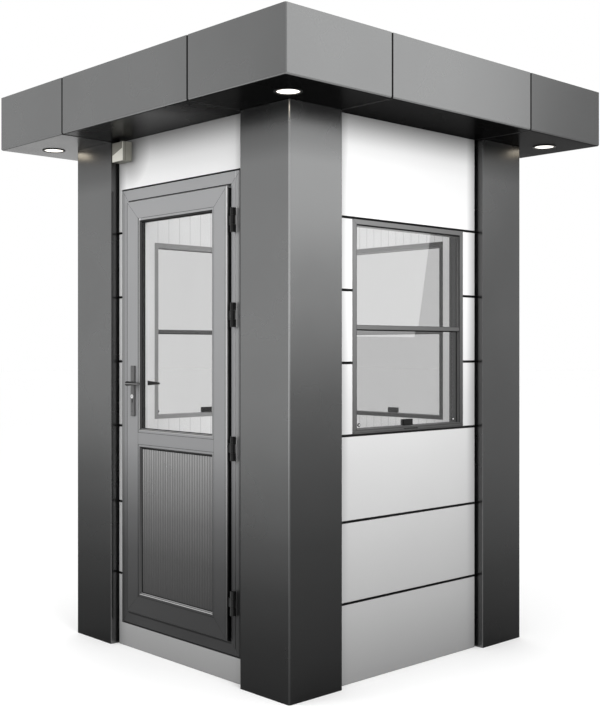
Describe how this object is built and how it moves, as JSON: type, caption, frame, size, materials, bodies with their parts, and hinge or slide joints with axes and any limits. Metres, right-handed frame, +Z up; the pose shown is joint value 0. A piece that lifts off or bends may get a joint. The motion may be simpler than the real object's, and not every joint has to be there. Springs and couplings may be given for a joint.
{
  "type": "composite cabin",
  "caption": "Small flat-roofed cabin with clad corner columns, wide fascia, a half-glazed door and a window in each other wall.",
  "frame": {"origin": "on the ground, under the middle of the cabin", "axes": "+Z up, the door wall faces -Y, the wall beside it that shows its window faces +X"},
  "size_m": [2.028, 2.028, 2.58],
  "materials": {
    "white_panel": "matt white coating",
    "lined_core": "matt white lining",
    "grey_sheet": "satin grey coating",
    "grey_profile": "satin grey coating",
    "reeded_panel": "satin grey",
    "clear_glass": "clear",
    "black_plastic": "matt",
    "black_steel": "satin black",
    "grey_steel": "satin grey",
    "bright_steel": "bright",
    "lamp_diffuser": "opal",
    "cream_plastic": "matt",
    "roof_membrane": "matt",
    "floor_covering": "satin",
    "primed_steel": "matt primer"
  },
  "bodies": {
    "cabin": {"back_cladding": "white_panel", "back_left_column": "grey_sheet", "back_right_column": "grey_sheet", "back_wall": "lined_core", "back_window_frame": "grey_profile", "back_window_glass": "clear_glass", "ceiling": "lined_core", "corner_posts": "primed_steel", "door_frame": "grey_profile", "downlight_lenses": "lamp_diffuser", "downlight_rings": "black_plastic", "fascia_back": "grey_sheet", "fascia_corner_back_left": "grey_sheet", "fascia_corner_back_right": "grey_sheet", "fascia_corner_front_left": "grey_sheet", "fascia_corner_front_right": "grey_sheet", "fascia_front": "grey_sheet", "fascia_left": "grey_sheet", "fascia_right": "grey_sheet", "floor_board": "floor_covering", "floor_chassis": "primed_steel", "front_cladding": "white_panel", "front_left_column": "grey_sheet", "front_right_column": "grey_sheet", "front_wall_left": "lined_core", "front_wall_right": "lined_core", "front_wall_sill": "lined_core", "front_wall_top": "lined_core", "hinges_frame_side": "black_steel", "junction_box": "cream_plastic", "left_cladding": "white_panel", "left_wall": "lined_core", "left_window_frame": "grey_profile", "left_window_glass": "clear_glass", "right_cladding": "white_panel", "right_wall": "lined_core", "right_window_frame": "grey_profile", "right_window_glass": "clear_glass", "roof_deck": "roof_membrane", "roof_frame": "primed_steel", "window_catches": "black_plastic"},
    "door": {"door_leaf": "grey_profile", "door_beads": "grey_profile", "door_glass": "clear_glass", "door_panel": "reeded_panel", "door_plates": "grey_steel", "lock_cylinder": "bright_steel", "hinges_leaf_side": "black_steel"},
    "lever": {"lever_handle": "black_steel"}
  },
  "joints": [
    {"name": "door_hinge", "type": "hinge", "parent": "cabin", "child": "door", "pos_m": [0.389, -0.73, 1.1035], "axis": [0, 0, 1], "range_deg": [0, 110]},
    {"name": "lever_turn", "type": "hinge", "parent": "door", "child": "lever", "pos_m": [-0.304, -0.712, 1.211], "axis": [0, 1, 0], "range_deg": [0, 40], "stiffness_Nm_per_rad": 1.5, "springref_deg": -20.05}
  ]
}
